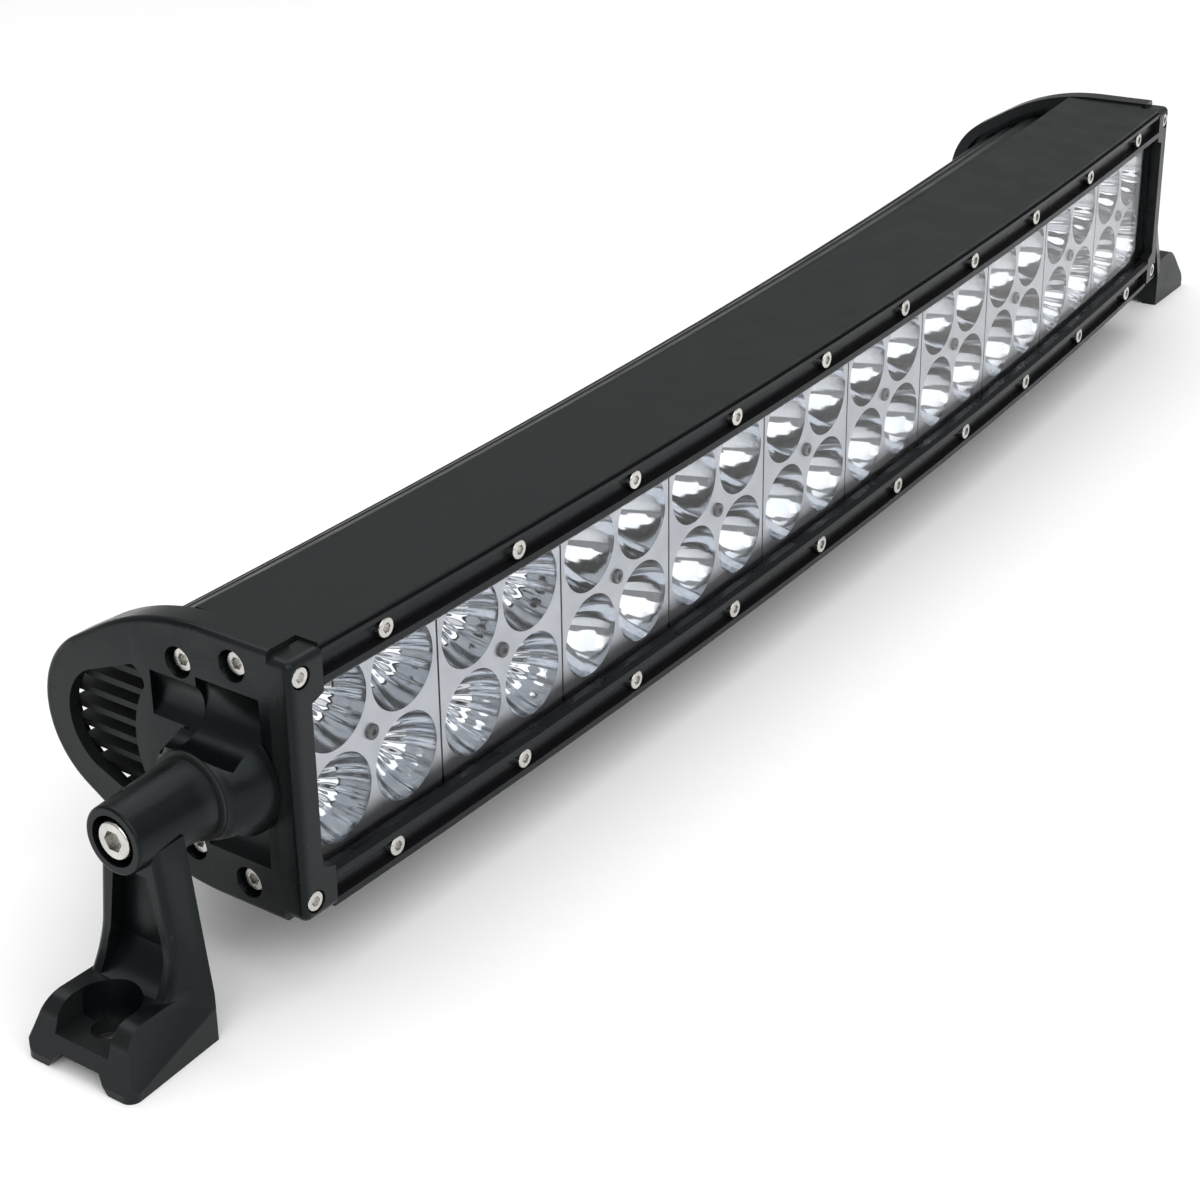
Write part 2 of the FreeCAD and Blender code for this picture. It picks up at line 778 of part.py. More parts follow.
def sketch_axis(sketch, start, stop):
    """A construction line in the sketch, to turn a profile about."""
    index = sketch.addGeometry(Part.LineSegment(vector(start), vector(stop)), True)
    pin_point(sketch, index, 1, *start)
    pin_point(sketch, index, 2, *stop)
    return "Axis0"


def make_led_boards():
    """Ten aluminium-backed boards on the housing's web, one behind each module."""
    master = new_body("led_board_master")
    outline = new_sketch(master, "led_board_outline", "XZ_Plane")
    half_width = (cell("module_pitch") - 1) / 2
    half_height = cell("bay_half") - 0.8
    add_outline(outline, rectangle(-half_width, -half_height, half_width, half_height))
    add_circle(outline, 0, 0, LAMP_SCREW_RADIUS + 0.15)
    pad(master, outline, cell("board_thick"), True)
    depth = cell("web_depth").value - cell("board_thick").value
    return keep_group("led_boards", master, [station_frame(station, depth) for station in stations()])


def make_led_chips():
    """Forty emitters: a square base with a shallow dome on its front."""
    master = new_body("led_chip_master")
    base = new_sketch(master, "led_chip_base", "XZ_Plane")
    add_outline(base, rectangle(-1.75, -1.75, 1.75, 1.75))
    pad(master, base, 0.7)
    dome = new_sketch(master, "led_chip_dome", "XY_Plane")
    add_outline(dome, [(0, -0.5), (1.5, -0.5), (1.5, -0.7), (0, -2.2)], {2: (1.5, "right")})
    turned(master, dome, "Revolution", (dome, ["V_Axis"]))
    depth = cell("web_depth").value - cell("board_thick").value
    spread = cell("cup_spacing").value / 2
    placements = []
    for station in stations():
        for shift_x in (-spread, spread):
            for shift_z in (-spread, spread):
                shift = FreeCAD.Placement(FreeCAD.Vector(shift_x, 0, shift_z), FreeCAD.Rotation())
                placements.append(station_frame(station, depth).multiply(shift))
    return keep_group("led_chips", master, placements)


def make_driver():
    """The constant-current driver board in the rear bay, with its tall parts and four spacers."""
    front = cell("rear_bay_depth") - 4.0
    board = new_body("driver_board")
    outline = new_sketch(board, "driver_board_outline", "XZ_Plane", -front)
    half_width, half_height = DRIVER_HALF
    add_outline(outline, rectangle(-half_width, -half_height, half_width, half_height))
    pad(board, outline, 1.6, True)
    place(board, 0, FRONT_Y, PIVOT_Z)
    keep(board)
    parts = []
    for x, z, radius, height in DRIVER_ROUNDS:
        parts.append(driver_round(front.value, x, z, radius, height))
    for x, z, width, tall, height in DRIVER_BLOCKS:
        parts.append(driver_block(front.value, x, z, width, tall, height))
    keep_solids("driver_components", parts)
    spacers = []
    for x, z in SPACER_SPOTS:
        spacers.append(Part.makeCylinder(2.5, SPACER_LENGTH, section_point(front.value + 1.6, x, z), Y_AXIS))
    keep_solids("driver_spacers", spacers)
    first = cell("web_depth").value + 0.9
    leads = []
    for x in LEAD_STATIONS:
        start = section_point(first, x, LEAD_HEIGHT)
        leads.append(Part.makeCylinder(0.8, front.value - first, start, Y_AXIS))
    keep_solids("driver_leads", leads)


def section_point(depth, x, z):
    """A point near the bar's middle, at a depth behind the front."""
    return FreeCAD.Vector(x, FRONT_Y.value + depth, PIVOT_Z.value + z)


def driver_round(front, x, z, radius, height):
    return Part.makeCylinder(radius, height, section_point(front - height, x, z), Y_AXIS)


def driver_block(front, x, z, width, tall, height):
    corner = section_point(front - height, x - width / 2, z - tall / 2)
    return Part.makeBox(width, height, tall, corner)


def keep_solids(label, solids):
    feature = DOC.addObject("Part::Feature", label)
    feature.Label = label
    feature.Shape = Part.makeCompound(solids)
    feature.Placement = FreeCAD.Placement()
    return keep(feature)


# --- fasteners ---------------------------------------------------------------------------------------

def socket_screw(label, head_radius, head_height, flats, shank_radius, shank_length, rounding=0.4):
    """A socket-head screw along X: the head's seat is X = 0, the head points along +X."""
    body = new_body(label)
    profile = new_sketch(body, label + "_profile", "XZ_Plane")
    points = [(-shank_length, 0), (-shank_length, shank_radius - 0.3), (0.3 - shank_length, shank_radius),
              (0, shank_radius), (0, head_radius), (head_height - rounding, head_radius),
              (head_height, head_radius - rounding), (head_height, 0)]
    add_outline(profile, points, {5: (rounding, "right")})
    turned(body, profile, "Revolution", (profile, ["H_Axis"]))
    drive = new_sketch(body, label + "_drive", "YZ_Plane", head_height)
    add_outline(drive, hexagon(size(0), size(0), flats))
    pocket(body, drive, size(head_height) * 0.55)
    return body


def screw_turn(out):
    """The rotation that points a screw's +X along out."""
    return FreeCAD.Rotation(X_AXIS, out)


def make_bezel_screws():
    master = socket_screw("bezel_screw_master", 2.7, 2.1, 2.5, THREAD_RADIUS - 0.02, 13.0)
    seat = cell("groove_depth").value
    out = FreeCAD.Placement(FreeCAD.Vector(), screw_turn(-Y_AXIS))
    for name, sign in (("top", 1), ("bottom", -1)):
        spots = [station_frame(station, seat, sign * cell("screw_row").value) for station in stations()]
        keep_group(name + "_bezel_screws", master, [spot.multiply(out) for spot in spots])


def make_lamp_screws():
    """One small screw in the middle of each module holds the module and its board to the web."""
    length = reflector_length().value + cell("board_thick").value + cell("web_thick").value
    master = socket_screw("lamp_screw_master", 2.1, 1.0, 1.6, LAMP_SCREW_RADIUS - 0.02, length)
    out = FreeCAD.Placement(FreeCAD.Vector(), screw_turn(-Y_AXIS))
    spots = [station_frame(station, cell("reflector_depth").value) for station in stations()]
    keep_group("reflector_screws", master, [spot.multiply(out) for spot in spots])


def make_pillar_screws():
    master = socket_screw("pillar_screw_master", 2.7, 1.6, 2.5, THREAD_RADIUS - 0.02, PILLAR_SCREW_LENGTH)
    placements = []
    for name, side in SIDES:
        frame = end_frame(side, 0)
        for sign in (1, -1):
            spot = FreeCAD.Vector(0, PILLAR_SCREW_SEAT, sign * cell("screw_row").value)
            placements.append(frame.multiply(FreeCAD.Placement(spot, screw_turn(-Y_AXIS))))
    keep_group("pillar_screws", master, placements)


def make_cap_screws():
    seat = cell("cap_reach").value - CAP_SINK
    length = seat + cell("housing_gap").value + CAP_SCREW_LENGTH - 1.0
    master = socket_screw("cap_screw_master", 3.25, 3.6, 3.0, CAP_SCREW_RADIUS - 0.02, length)
    for name, side in SIDES:
        frame = end_frame(side, 0)
        placements = []
        for depth, height in CAP_SCREWS:
            for sign in (1, -1):
                spot = FreeCAD.Vector(seat, depth, sign * height)
                placements.append(frame.multiply(FreeCAD.Placement(spot, FreeCAD.Rotation())))
        keep_group(name + "_cap_screws", master, placements)


def make_pivot_hardware():
    """Each end: the pivot bolt, a washer under its head and a friction washer against the boss."""
    seat = cell("bolt_head_seat").value
    washer = 1.0
    length = seat + washer + 0.1 - (cell("boss_reach").value - BOLT_THREAD)
    bolt = socket_screw("pivot_bolt_master", cell("bolt_head_radius").value, 5.6, 5.0,
                        cell("bolt_radius").value, length, 0.7)
    ring = washer_master("head_washer_master", 6.2, cell("bolt_radius").value + 0.15, washer)
    disc = washer_master("friction_washer_master", 11.6, cell("bolt_radius").value + 0.15,
                         cell("washer_thick").value)
    places = {"pivot_bolts": (bolt, seat + washer + 0.1), "head_washers": (ring, seat + 0.05),
              "friction_washers": (disc, cell("boss_reach").value)}
    for label, (master, reach) in places.items():
        placements = []
        for name, side in SIDES:
            frame = end_frame(side, cell("pivot_depth").value)
            spot = FreeCAD.Placement(FreeCAD.Vector(reach, 0, 0), FreeCAD.Rotation())
            placements.append(frame.multiply(spot))
        keep_group(label, master, placements)


def washer_master(label, outer, inner, thick):
    body = new_body(label)
    ring = new_sketch(body, label + "_ring", "YZ_Plane")
    add_circle(ring, 0, 0, outer)
    add_circle(ring, 0, 0, inner)
    pad(body, ring, thick)
    return body


# --- the ends ----------------------------------------------------------------------------------------

def cap_face(inset=0):
    """The whole D-shaped outline of the end cap, with its arcs, from the front bottom corner."""
    points, bow, nose = cap_outline(size(inset))
    half = cell("cap_half") - inset
    front = cell("cap_front")
    lower = [(b, -height) for b, height in points]
    outline = [(front, -half)] + lower + list(reversed(points)) + [(front, half)]
    return outline, {1: (bow, "left"), 3: (nose, "left"), 5: (bow, "left")}


def window_outline():
    """The opening behind the boss that shows the fin ends."""
    points, bow, nose = cap_outline(cell("window_margin"))
    nose_x, nose_z = points[2]
    front = cell("window_depth")
    turn = cell("cap_bow_turn")
    slope = math.tan(math.radians(turn.value))
    top = nose_z + (nose_x - front) * slope * 0.55
    outline = [(front + 4, -top), (nose_x, -nose_z), (nose_x, nose_z), (front + 4, top),
               (front, top - 5), (front, 5 - top)]
    return outline, {1: (nose, "left"), 3: (6.0, "left"), 4: (27.0, "right"), 5: (6.0, "left")}


def make_end_cap(name, side):
    label = name + "_end_cap"
    body = new_body(label)
    face = new_sketch(body, label + "_face", "YZ_Plane", -cell("cap_reach"))
    outline, arcs = cap_face()
    add_outline(face, outline, arcs)
    plate = pad(body, face, cell("cap_reach") * 2)
    outer = cell("cap_reach").value
    edge = round_edges(body, plate, cell("cap_edge"), lambda item: is_cap_rim(item, outer))
    add_boss(body, label)
    cut_scoops(body, label)
    hollow = new_sketch(body, label + "_hollow", "YZ_Plane", -cell("cap_reach") - 1)
    outline, arcs = rear_outline(cell("fin_root") - 1, cell("cap_rim"))
    add_outline(hollow, outline, arcs)
    pocket(body, hollow, cell("cap_reach") * 2 + 1 - cell("cap_skin"), True)
    window = new_sketch(body, label + "_window", "YZ_Plane", -cell("cap_reach") - 1)
    outline, arcs = window_outline()
    add_outline(window, outline, arcs)
    pocket(body, window, cell("cap_reach") * 2 + 2, True)
    cut_cap_holes(body, label)
    x, y, z, turn = end_placement(side, size(0), Y_AXIS)
    place(body, x, y, z, turn)
    return keep(body)


def is_cap_rim(edge, outer):
    """Edges of the cap's outer face, apart from the straight front one beside the pillar."""
    box = edge.BoundBox
    on_face = box.XMin > outer - 0.01
    front = box.YMax < DRIVING["cap_front"] + 0.01
    return on_face and not front


def cut_scoops(body, label):
    """Two shallow hollows above the boss and two below, either side of an upright rib."""
    for name, front, back, middle, depth in SCOOPS:
        for tag, sign in (("up", 1), ("down", -1)):
            scoop = new_sketch(body, label + "_" + name + "_" + tag, "XZ_Plane", -back)
            add_circle(scoop, cell("cap_reach") + SCOOP_RADIUS - depth, sign * middle, SCOOP_RADIUS)
            pocket(body, scoop, back - front, True)


def add_boss(body, label):
    """The rounded boss that the bracket turns against, with the pivot bolt's thread in it."""
    depth = cell("pivot_depth")
    wall = new_sketch(body, label + "_boss", "XY_Plane")
    base = cell("cap_reach") - 3
    collar = cell("cap_reach") + 0.4
    reach = cell("boss_reach")
    foot = depth + cell("boss_foot_radius")
    dome = depth + cell("boss_dome_radius")
    rim = depth + cell("boss_radius")
    points = [(base, depth), (base, foot), (collar, foot), (collar, dome)]
    points += [(reach - 1.4, rim), (reach, rim - 1.4), (reach, depth)]
    add_outline(wall, points, {3: (cell("boss_bow"), "right")})
    axis = sketch_axis(wall, points[0], points[-1])
    turned(body, wall, "Revolution", (wall, [axis]))
    thread = new_sketch(body, label + "_thread", "YZ_Plane", reach)
    add_circle(thread, depth, 0, cell("bolt_radius") + 0.02)
    pocket(body, thread, BOLT_THREAD + 0.5)


def cut_cap_holes(body, label):
    """Deep counterbores for the cap's screws, threads for the pillar's, and room for the gasket."""
    sink = new_sketch(body, label + "_sinks", "YZ_Plane", cell("cap_reach"))
    through = new_sketch(body, label + "_holes", "YZ_Plane", cell("cap_reach"))
    for depth, height in CAP_SCREWS:
        for sign in (1, -1):
            add_circle(sink, depth, sign * height, CAP_SINK_RADIUS)
            add_circle(through, depth, sign * height, CAP_SCREW_RADIUS)
    pocket(body, sink, CAP_SINK)
    pocket(body, through, cell("cap_reach") * 2)
    threads = new_sketch(body, label + "_pillar_threads", "XZ_Plane", -cell("cap_front"))
    for sign in (1, -1):
        add_circle(threads, 0, sign * cell("screw_row"), THREAD_RADIUS)
    pocket(body, threads, PILLAR_SCREW_LENGTH - 5)
    notch = new_sketch(body, label + "_notch", "YZ_Plane", -cell("cap_reach") - 1)
    half = cell("lens_half") + 0.1
    add_outline(notch, rectangle(cell("cap_front") - 1, -half, cell("flange_depth") + 0.2, half))
    pocket(body, notch, cell("cap_reach") - 1 + 1, True)


def make_cap_gasket(name, side):
    """A flat rubber gasket between the housing's end and the cap."""
    label = name + "_cap_gasket"
    body = new_body(label)
    inner = -cell("housing_gap")
    outline = new_sketch(body, label + "_outline", "YZ_Plane", inner)
    half = cell("housing_half") - 1.2
    corners = rectangle(cell("flange_depth") + 0.4, -half, cell("fin_root") - 1, half)
    lower_back = (cell("fin_root") - 1, -cell("plate_depth") + 9)
    upper_back = (cell("fin_root") - 1, cell("plate_depth") - 9)
    shoulder = cell("plate_depth") - 2
    outline_points = [corners[0], (shoulder, -half), lower_back, upper_back, (shoulder, half), corners[3]]
    add_outline(outline, outline_points)
    pad(body, outline, cell("housing_gap") - cell("cap_reach"))
    opening = new_sketch(body, label + "_openings", "YZ_Plane", -cell("housing_gap") - 1)
    front_half = cell("bay_half")
    add_outline(opening, rectangle(cell("flange_depth") - 1, -front_half, cell("web_depth"), front_half))
    add_outline(opening, rectangle(cell("web_depth") + cell("web_thick"), -cell("rear_bay_half"),
                                   cell("rear_bay_depth"), cell("rear_bay_half")))
    for depth, height in CAP_SCREWS:
        for sign in (1, -1):
            add_circle(opening, depth, sign * height, CAP_SCREW_RADIUS)
    pocket(body, opening, cell("housing_gap"), True)
    x, y, z, turn = end_placement(side, size(0), Y_AXIS)
    place(body, x, y, z, turn)
    return keep(body)


def make_pillar(name, side):
    """The upright that closes the front at an end. It is wider where it meets the strips."""
    label = name + "_front_pillar"
    body = new_body(label)
    face = new_sketch(body, label + "_face", "XZ_Plane")
    outer = cell("cap_reach")
    half = cell("pillar_half")
    corner = cell("opening_half") - 0.6
    outline = [(outer, -half), (outer, half), (-cell("strip_end"), half), (-cell("strip_end"), corner),
               (-cell("pillar_inner"), corner - 1.5), (-cell("pillar_inner"), -(corner - 1.5)),
               (-cell("strip_end"), -corner), (-cell("strip_end"), -half)]
    add_outline(face, outline)
    block = pad(body, face, cell("cap_front"), True)
    round_edges(body, block, 2.2, lambda edge: is_pillar_rim(edge, outer.value, half.value))
    rebate = new_sketch(body, label + "_rebate", "XZ_Plane", -cell("cap_front") - 1)
    tall = cell("lens_half") + 0.2
    add_outline(rebate, rectangle(-cell("strip_end") - 1, -tall, -cell("lens_end") + 0.2, tall))
    pocket(body, rebate, cell("cap_front") - cell("lens_front") + 1.1, True)
    sink = new_sketch(body, label + "_sinks", "XZ_Plane")
    holes = new_sketch(body, label + "_holes", "XZ_Plane")
    for sign in (1, -1):
        add_circle(sink, 0, sign * cell("screw_row"), 3.0)
        add_circle(holes, 0, sign * cell("screw_row"), THREAD_RADIUS)
    pocket(body, sink, PILLAR_SCREW_SEAT)
    pocket(body, holes, cell("cap_front") + 1)
    x, y, z, turn = end_placement(side, size(0), Y_AXIS)
    place(body, x, y, z, turn)
    return keep(body)


def is_pillar_rim(edge, outer, half):
    """The pillar's long outer front edge and its two short front edges, top and bottom."""
    box = edge.BoundBox
    in_front = box.YMax < 0.01
    upright = box.XMin > outer - 0.01
    crosswise = min(abs(box.ZMin - half), abs(box.ZMax + half)) < 0.01 and box.ZLength < 0.01
    corner = box.YLength > 1 and box.XMin > outer - 0.01 and box.ZLength < 0.01
    return (in_front and (upright or crosswise)) or corner


# --- the brackets ------------------------------------------------------------------------------------

def make_bracket(name, side):
    """A cast bracket: a barrel round the pivot bolt, a ribbed arm and a foot with a bolt pocket."""
    label = name + "_bracket"
    body = new_body(label)
    add_foot(body, label)
    add_arm(body, label)
    add_barrel(body, label)
    cut_arm_recess(body, label)
    cut_foot(body, label)
    cut_barrel_bore(body, label)
    x, y, z, turn = end_placement(side, cell("pivot_depth"), Z_AXIS)
    place(body, x, y, z, turn)
    return keep(body)


def foot_bottom():
    return -cell("pivot_height")


def foot_top():
    return foot_bottom() + cell("foot_rise")


def add_foot(body, label):
    """The foot widens outwards. Its outer end leans in and rounds over, and its sides lean in too."""
    foot = new_sketch(body, label + "_foot", "XY_Plane", foot_bottom())
    inner = cell("arm_inner")
    outer = cell("foot_outer")
    root_half = cell("arm_half")
    half = cell("foot_half")
    add_outline(foot, [(inner, -root_half), (outer, -half), (outer, half), (inner, root_half)])
    block = pad(body, foot, cell("foot_rise"))
    reach = outer.value
    round_edges(body, block, 3.0, lambda edge: is_foot_corner(edge, reach))
    lean_end(body, label)
    lean_sides(body, label)


def is_foot_corner(edge, reach):
    """The two upright corners at the foot's outer end."""
    box = edge.BoundBox
    return box.XMin > reach - 0.01 and box.ZLength > 2


def lean_end(body, label):
    """The foot's outer end leans in from the base and rounds over into the top."""
    end = new_sketch(body, label + "_end", "XZ_Plane", -cell("foot_half") - 1)
    outer = cell("foot_outer")
    top = foot_top()
    across = cell("foot_round")
    down = cell("foot_round_drop")
    shoulder = outer - cell("foot_lean")
    radius = (across * across + down * down) / (down * 2)
    outline = [(outer, foot_bottom() + 2), (shoulder, top - down), (shoulder - across, top),
               (shoulder - across, top + 1), (outer + 1, top + 1), (outer + 1, foot_bottom() + 2)]
    add_outline(end, outline, {1: (radius, "left")})
    pocket(body, end, cell("foot_half") * 2 + 2, True)


def lean_sides(body, label):
    """Both sides of the foot lean in from just above the base up to the crest."""
    top = foot_top()
    crest = cell("crest_half")
    beyond = crest + (cell("foot_half") - crest) * 1.1
    fall = (cell("foot_rise") - 1.5) * 1.1
    for name, sign in (("front", -1), ("back", 1)):
        slope = new_sketch(body, label + "_slope_" + name, "YZ_Plane", cell("arm_inner") - 1)
        outline = [(crest * sign, top + 1), (crest * sign, top), (beyond * sign, top - fall),
                   (beyond * sign, top + 1)]
        add_outline(slope, outline)
        pocket(body, slope, cell("foot_outer") - cell("arm_inner") + 2, True)


def add_arm(body, label):
    """The arm's sides lean in outwards, and its shoulders narrow up to the barrel."""
    arm = new_sketch(body, label + "_arm", "YZ_Plane", cell("arm_inner"))
    top = cell("arm_top_half")
    half = cell("arm_half")
    under = foot_bottom() + 8
    shoulder = -cell("arm_shoulder")
    outline = [(-top, -1), (-half, shoulder), (-half, under), (half, under), (half, shoulder), (top, -1)]
    add_outline(arm, outline)
    plate = pad(body, arm, cell("arm_outer") + cell("arm_sweep") - cell("arm_inner"))
    bind(plate, "TaperAngle", -cell("arm_draft"))
    face = sweep_face(body, label)
    outer = cell("arm_outer").value
    round_edges(body, face, 2.0, lambda edge: is_rib_edge(edge, outer, foot_top().value))


def sweep_face(body, label):
    """The arm's outer face is flat above, and sweeps out below to meet the foot's top."""
    sweep = new_sketch(body, label + "_sweep", "XZ_Plane", -cell("foot_half"))
    outer = cell("arm_outer")
    out = cell("arm_sweep")
    rise = cell("sweep_rise")
    low = foot_top()
    radius = (out * out + rise * rise) / (out * 2)
    outline = [(outer, 0), (outer, low + rise), (outer + out, low), (outer + out + 1, low),
               (outer + out + 1, 0)]
    add_outline(sweep, outline, {1: (radius, "left")})
    return pocket(body, sweep, cell("foot_half") * 2, True)


def is_rib_edge(edge, outer, low):
    """The long edges down both sides of the arm's outer face."""
    box = edge.BoundBox
    beside = min(abs(box.YMin), abs(box.YMax)) > 5
    return box.XMin > outer - 0.01 and box.ZMin > low - 0.01 and box.ZLength > 2 and beside


def add_barrel(body, label):
    profile = new_sketch(body, label + "_barrel", "XZ_Plane")
    points = [(cell("barrel_root"), 0), (cell("barrel_root"), cell("barrel_root_radius")),
              (cell("barrel_end") - 0.8, cell("barrel_end_radius")),
              (cell("barrel_end"), cell("barrel_end_radius") - 0.8), (cell("barrel_end"), 0)]
    add_outline(profile, points, {2: (0.8, "right")})
    turned(body, profile, "Revolution", (profile, ["H_Axis"]))


def cut_arm_recess(body, label):
    """The hollow between the arm's two ribs, which sweeps out onto the top of the foot."""
    face = cell("arm_outer") + cell("arm_sweep") + 1
    deep = cell("arm_outer") - cell("arm_recess")
    recess = new_sketch(body, label + "_recess", "YZ_Plane", face)
    top_half = cell("recess_top_half")
    low_half = cell("recess_low_half")
    low = foot_top() + cell("ramp_rise")
    add_outline(recess, [(-top_half, -10), (-low_half, low), (low_half, low), (top_half, -10)])
    pocket(body, recess, face - deep)
    ramp = new_sketch(body, label + "_ramp", "XZ_Plane", -low_half)
    add_outline(ramp, [(deep, low), (face, foot_top()), (face, low)], {0: (cell("ramp_radius"), "left")})
    pocket(body, ramp, low_half * 2, True)


def cut_foot(body, label):
    """The bolt pocket open to the outside, the bolt hole and the channel under the foot."""
    floor = foot_bottom() + cell("pocket_floor")
    radius = cell("pocket_radius")
    middle = cell("foot_hole")
    outer = cell("foot_outer") + 1
    plan = new_sketch(body, label + "_pocket", "XY_Plane", floor)
    add_outline(plan, [(middle, -radius), (outer, -radius), (outer, radius), (middle, radius)],
                {3: (radius, "left")})
    pocket(body, plan, cell("foot_rise"), True)
    hole = new_sketch(body, label + "_hole", "XY_Plane", floor + 1)
    add_circle(hole, middle, 0, cell("foot_hole_radius"))
    pocket(body, hole, cell("pocket_floor") + 2)
    channel = new_sketch(body, label + "_channel", "YZ_Plane", cell("arm_inner") - 2)
    half = cell("channel_half")
    rise = foot_bottom() + cell("channel_rise")
    add_outline(channel, [(-half - 3.4, foot_bottom()), (half + 3.4, foot_bottom()), (half, rise),
                          (-half, rise)])
    pocket(body, channel, cell("foot_outer") - cell("arm_inner") + 4, True)


def cut_barrel_bore(body, label):
    bore = new_sketch(body, label + "_bore", "YZ_Plane", cell("barrel_end") + 1)
    add_circle(bore, 0, 0, cell("bolt_radius") + cell("bolt_clearance"))
    pocket(body, bore, cell("barrel_end") - cell("barrel_root") + 2)
    recess = new_sketch(body, label + "_head_recess", "YZ_Plane", cell("barrel_end"))
    add_circle(recess, 0, 0, cell("recess_radius"))
    pocket(body, recess, cell("barrel_end") - cell("bolt_head_seat"))


# --- the cable gland and the breather ----------------------------------------------------------------

def make_back_fitting(label, station, steps, bore_radius=0.0, flats=0.0):
    """A turned fitting on the back: steps of (from depth, to depth, radius), with a hexagon on top of
    the first step if flats is given, and a bore through it all if bore_radius is given."""
    solids = []
    for start, stop, radius in steps:
        solids.append(Part.makeCylinder(radius, stop - start, FreeCAD.Vector(0, start, 0), Y_AXIS))
    if flats:
        solids.append(hexagon_block(flats, steps[0][1], steps[0][1] + 4.0))
    shape = solids[0]
    if len(solids) > 1:
        shape = solids[0].multiFuse(solids[1:]).removeSplitter()
    if bore_radius:
        low = steps[0][0] - 1.0
        shape = shape.cut(Part.makeCylinder(bore_radius, 60.0, FreeCAD.Vector(0, low, 0), Y_AXIS))
    feature = DOC.addObject("Part::Feature", label)
    feature.Label = label
    feature.Shape = shape
    feature.Placement = station_frame(station, 0.0)
    return keep(feature)


def hexagon_block(flats, start, stop):
    corners = [FreeCAD.Vector(x.value, start, z.value) for x, z in hexagon(size(0), size(0), flats)]
    face = Part.Face(Part.makePolygon(corners + corners[:1]))
    return face.extrude(FreeCAD.Vector(0, stop - start, 0))


def make_back_fittings():
    """The cable gland's body, nut and seal on its boss, and the breather vent on the other."""
    top = cell("fin_root").value + BOSS_HEIGHT
    body_steps = [(top - 9.0, top, 6.0), (top + 4.0, top + 8.0, 5.6)]
    nut_steps = [(top + 4.1, top + 14.0, 7.6), (top + 14.0, top + 18.0, 6.9)]
    make_back_fitting("gland_body", GLAND_STATION, body_steps, GLAND_BORE + 0.8, 16.0)
    make_back_fitting("gland_nut", GLAND_STATION, nut_steps, 5.65)
    make_back_fitting("gland_seal", GLAND_STATION, [(top + 8.1, top + 17.5, 5.6)], GLAND_BORE)
    vent_steps = [(top - 7.0, top, 3.0), (top + 4.0, top + 5.0, 4.0)]
    make_back_fitting("breather_vent", VENT_STATION, vent_steps, 0.0, 10.0)


def build():
    make_housing()
    make_strip("top_bezel_strip", 1)
    make_strip("bottom_bezel_strip", -1)
    make_lens()
    make_lens_gasket()
    for number, station in enumerate(stations(), start=1):
        make_reflector(number, station)
    make_led_boards()
    make_led_chips()
    make_driver()
    make_bezel_screws()
    make_lamp_screws()
    make_pillar_screws()
    make_cap_screws()
    make_pivot_hardware()
    for name, side in SIDES:
        make_end_cap(name, side)
        make_cap_gasket(name, side)
        make_pillar(name, side)
        make_bracket(name, side)
    make_back_fittings()


def check_document():
    """Stop before anything is written if any object failed or any node's shape is bad."""
    DOC.recompute()
    for item in DOC.Objects:
        if "Invalid" in item.State or "Error" in item.State:
            raise RuntimeError(item.Name + " failed: " + str(item.State))
    for item in NODES:
        if item.Shape.isNull() or not item.Shape.isValid():
            raise RuntimeError(item.Label + " has a bad shape")


def write_nodes():
    for item in NODES:
        item.Shape.exportStep("parts/" + item.Label + ".step")
        print(item.Label, len(item.Shape.Solids), "solids", round(item.Shape.Volume), "mm3")


build()
check_document()
write_nodes()
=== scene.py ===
"""The looks of the curved LED light bar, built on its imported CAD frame."""

import math

import bpy
from mathutils import Matrix, Vector


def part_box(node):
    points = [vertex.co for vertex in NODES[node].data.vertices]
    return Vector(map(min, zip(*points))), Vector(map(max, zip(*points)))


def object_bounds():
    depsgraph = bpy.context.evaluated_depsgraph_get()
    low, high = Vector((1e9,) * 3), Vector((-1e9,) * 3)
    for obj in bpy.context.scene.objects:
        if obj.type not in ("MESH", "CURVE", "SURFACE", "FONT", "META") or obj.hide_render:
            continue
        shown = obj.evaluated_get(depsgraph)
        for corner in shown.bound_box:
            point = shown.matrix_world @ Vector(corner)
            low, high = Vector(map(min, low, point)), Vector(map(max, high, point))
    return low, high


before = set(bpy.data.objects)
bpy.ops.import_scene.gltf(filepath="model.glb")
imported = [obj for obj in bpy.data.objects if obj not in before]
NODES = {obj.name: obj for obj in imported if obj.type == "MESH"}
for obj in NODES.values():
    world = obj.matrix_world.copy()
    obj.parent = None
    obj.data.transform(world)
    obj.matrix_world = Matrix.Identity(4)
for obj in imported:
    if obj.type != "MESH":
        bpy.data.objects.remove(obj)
CAD_LOW, CAD_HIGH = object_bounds()
MM = 0.001
MODULES = 10
FLOOD_MODULES = (1, 2, 9, 10)

# Materials. Noise scales are waves a metre, and colours are linear red, green and blue.
COOL_GLOSS = (0.83, 0.97, 1.0)
PATCH_SCALE = 38.0
SHEEN_SCALE = 90.0
STAIN_SCALE = 160.0
HAZE_SCALE = 120.0
SMEAR_SCALE = 300.0
SPECK_SCALE = 900.0
LENS_HAZE_SCALE = 50.0
FLOOR_MOTTLE_SCALE = 3.0
PATCH_LIFT = 1.35
STAIN_SHADE = 0.75
GRAIN_STRENGTH = 0.35
DENT_STRENGTH = 0.4
LENS_INDEX = 1.2
SATIN = ((0.46, 0.48, 0.52), (0.53, 0.55, 0.59))
MIRROR = ((0.45, 0.48, 0.52), (0.53, 0.55, 0.58))
MIRROR_ROUGHNESS = 0.06
SATIN_ROUGHNESS = 0.3
PHOSPHOR = ((0.75, 0.6, 0.12), (0.9, 0.78, 0.3))
FLOOR_PALE = ((0.93, 0.93, 0.93), (0.95, 0.95, 0.95))

